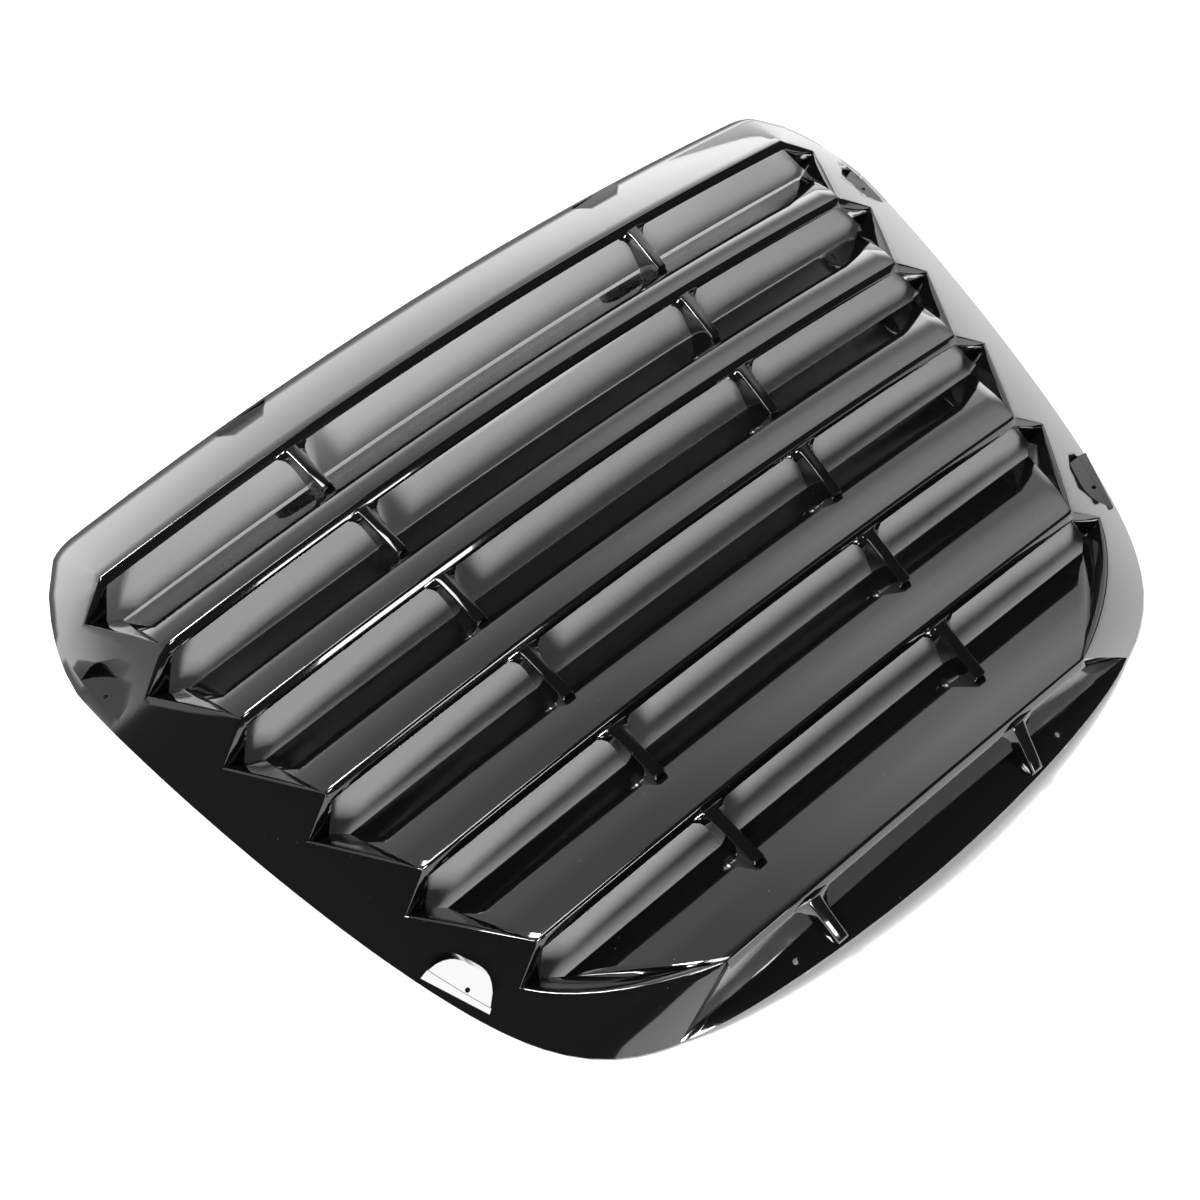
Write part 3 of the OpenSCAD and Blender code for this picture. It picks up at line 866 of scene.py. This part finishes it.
@dataclass(frozen=True)
class Softbox:
    """A soft lamp at a direction from the louver, given in degrees from the roof end and above the floor."""

    name: str
    azimuth: float
    elevation: float
    width: float
    height: float
    radiance: float
    distance: float = 4.0

    def build(self) -> bpy.types.Object:
        """Adds the lamp, turned towards the louver."""
        az, el = math.radians(self.azimuth), math.radians(self.elevation)
        way = Vector((math.sin(az) * math.cos(el), math.cos(az) * math.cos(el), math.sin(el)))
        lamp = bpy.data.lights.new(self.name, "AREA")
        lamp.shape = "RECTANGLE"
        lamp.size, lamp.size_y = self.width, self.height
        lamp.energy = self.radiance * math.pi * self.width * self.height
        ob = bpy.data.objects.new(self.name, lamp)
        bpy.context.scene.collection.objects.link(ob)
        ob.location = way * self.distance
        ob.rotation_euler = (-way).to_track_quat("-Z", "Y").to_euler()
        return ob


@dataclass
class Studio:
    """Pale floor, soft surround, lamps and the camera."""

    eye: tuple[float, float, float] = (-0.3783, -0.5315, 1.1467)
    right: tuple[float, float, float] = (0.7855284, -0.6141134, -0.0762223)
    down: tuple[float, float, float] = (-0.5733136, -0.6758515, -0.4631807)
    look: tuple[float, float, float] = (0.2329305, 0.4075409, -0.8829801)
    lens: float = 34.65
    roof_wall: tuple[tuple[float, float], ...] = (
        (0, 2.9), (5, 2.7), (9, 1.9), (12, 1.15), (16, 0.78), (24, 0.75), (35, 0.62), (62, 0.62), (70, 0.1), (90, 0.05))
    right_wall: tuple[tuple[float, float], ...] = (
        (0, 3.2), (5, 2.6), (9, 1.3), (12, 0.7), (16, 0.7), (24, 1.3), (35, 1.7), (62, 1.5), (70, 0.1), (90, 0.05))
    other_walls: tuple[tuple[float, float], ...] = ((0, 0.06), (14, 0.08), (60, 0.04), (90, 0.05))

    def camera(self) -> None:
        """Adds the camera at the photograph's place."""
        cam = bpy.data.cameras.new("camera")
        cam.sensor_width = 36
        cam.lens = self.lens
        cam.clip_end = 100
        ob = bpy.data.objects.new("camera", cam)
        bpy.context.scene.collection.objects.link(ob)
        r, d, k = Vector(self.right), Vector(self.down), Vector(self.look)
        turn = Matrix((r, -d, -k)).transposed().to_4x4()
        ob.matrix_world = Matrix.Translation(self.eye) @ turn
        bpy.context.scene.camera = ob

    def floor(self) -> None:
        """Adds the white floor."""
        deselect()
        bpy.ops.mesh.primitive_plane_add(size=14, location=(0, 0, -0.0006))
        ob = bpy.context.object
        ob.name = "floor"
        bpy.ops.object.transform_apply(location=True, rotation=True, scale=True)
        mat = bpy.data.materials.new("white_floor")
        mat.use_nodes = True
        shade = mat.node_tree.nodes["Principled BSDF"]
        shade.inputs["Base Color"].default_value = (0.97, 0.97, 0.97, 1)
        shade.inputs["Roughness"].default_value = 0.9
        shade.inputs["Specular IOR Level"].default_value = 0.0
        ob.data.materials.append(mat)

    def surround(self) -> None:
        """Sets the soft surround: brighter towards the roof end, dim overhead, white to the camera."""
        world = bpy.data.worlds.new("studio")
        bpy.context.scene.world = world
        world.use_nodes = True
        tree = world.node_tree
        back = tree.nodes["Background"]
        way = tree.nodes.new("ShaderNodeTexCoord")
        split = tree.nodes.new("ShaderNodeSeparateXYZ")
        link = tree.links.new
        link(way.outputs["Generated"], split.inputs[0])

        def ramp(stops: list[tuple[float, float]]) -> bpy.types.Node:
            """Adds a ramp over height, from pairs of degrees above the floor and radiance."""
            made = tree.nodes.new("ShaderNodeValToRGB")
            link(split.outputs["Z"], made.inputs[0])
            line = made.color_ramp
            while len(line.elements) < len(stops):
                line.elements.new(0.5)
            for e, (degrees, value) in zip(line.elements, stops):
                e.position = math.sin(math.radians(degrees))
                e.color = (value / 10, value / 10, value / 10, 1)
            return made

        def facing(azimuth: float, soft: float) -> bpy.types.Node:
            """Adds a soft mask of the directions within a quarter turn of an azimuth."""
            dot = tree.nodes.new("ShaderNodeVectorMath")
            dot.operation = "DOT_PRODUCT"
            dot.inputs[1].default_value = (math.sin(math.radians(azimuth)), math.cos(math.radians(azimuth)), 0)
            link(way.outputs["Generated"], dot.inputs[0])
            return smooth(dot.outputs["Value"], -soft, soft, 0, 1)

        def smooth(value: bpy.types.NodeSocket, low: float, high: float, at_low: float, at_high: float) -> bpy.types.Node:
            """Adds a soft step between two values."""
            made = tree.nodes.new("ShaderNodeMapRange")
            made.interpolation_type = "SMOOTHSTEP"
            for key, given in (("From Min", low), ("From Max", high), ("To Min", at_low), ("To Max", at_high)):
                made.inputs[key].default_value = given
            link(value, made.inputs["Value"])
            return made

        def times(a: bpy.types.NodeSocket, b: bpy.types.NodeSocket) -> bpy.types.NodeSocket:
            """Multiplies two values."""
            made = tree.nodes.new("ShaderNodeMath")
            made.operation = "MULTIPLY"
            link(a, made.inputs[0])
            link(b, made.inputs[1])
            return made.outputs[0]

        def blend(share: bpy.types.NodeSocket, a: bpy.types.NodeSocket, b: bpy.types.NodeSocket) -> bpy.types.NodeSocket:
            """Mixes two colours."""
            made = tree.nodes.new("ShaderNodeMix")
            made.data_type = "RGBA"
            link(share, made.inputs[0])
            link(a, made.inputs[6])
            link(b, made.inputs[7])
            return made.outputs[2]

        to_right = smooth(split.outputs["X"], 0.05, 0.5, 0, 1)
        roof = blend(to_right.outputs["Result"], ramp(self.roof_wall).outputs["Color"], ramp(self.right_wall).outputs["Color"])
        rest = ramp(self.other_walls)
        left_edge, right_edge = facing(24, 0.01), facing(-15, 0.12)
        open_side = times(left_edge.outputs["Result"], right_edge.outputs["Result"])
        link(blend(open_side, rest.outputs["Color"], roof), back.inputs["Color"])
        back.inputs["Strength"].default_value = 10
        white = tree.nodes.new("ShaderNodeBackground")
        white.inputs["Color"].default_value = (1, 1, 1, 1)
        path = tree.nodes.new("ShaderNodeLightPath")
        seen = tree.nodes.new("ShaderNodeMixShader")
        link(path.outputs["Is Camera Ray"], seen.inputs[0])
        link(back.outputs[0], seen.inputs[1])
        link(white.outputs[0], seen.inputs[2])
        link(seen.outputs[0], tree.nodes["World Output"].inputs["Surface"])

    def lamps(self) -> None:
        """Adds the lamps."""
        for box in (
            Softbox("key", -38, 60, 1.5, 1.5, 75.0, 8.0),
            Softbox("fill", 212, 41, 1.0, 1.8, 48.0, 8.0),
            Softbox("low_front", 181, 8, 1.0, 0.4, 16.0),
            Softbox("spot_left", -80, 74, 0.5, 0.5, 12.0),
            Softbox("spot_top", -45, 76, 0.9, 0.9, 12.0),
        ):
            box.build()

    def build(self) -> None:
        """Builds the studio."""
        self.floor()
        self.surround()
        self.lamps()
        self.camera()
        bpy.context.scene.view_settings.view_transform = "Standard"


def settle(ob: bpy.types.Object, finish: bpy.types.Material) -> None:
    """Gives a piece its finish and its place in the frame."""
    ob.data.materials.clear()
    ob.data.materials.append(finish)
    for v in ob.data.vertices:
        v.co.z = max(0.0, v.co.z)
    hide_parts("louver")
    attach(ob, "root")
    LOG.info("%s: %d faces", ob.name, len(ob.data.polygons))


def main() -> None:
    """Builds the louver and its studio."""
    logging.basicConfig(level=logging.INFO, format="%(name)s %(message)s")
    form = LouverForm(LouverSizes())
    finish = GlossBlack().material()
    for part in (Bands(form, finish), Slats(form, finish), Ribs(form, finish), Tail(form, finish)):
        for ob in part.build():
            settle(ob, finish)
    Studio().build()


if __name__ == "__main__":
    main()
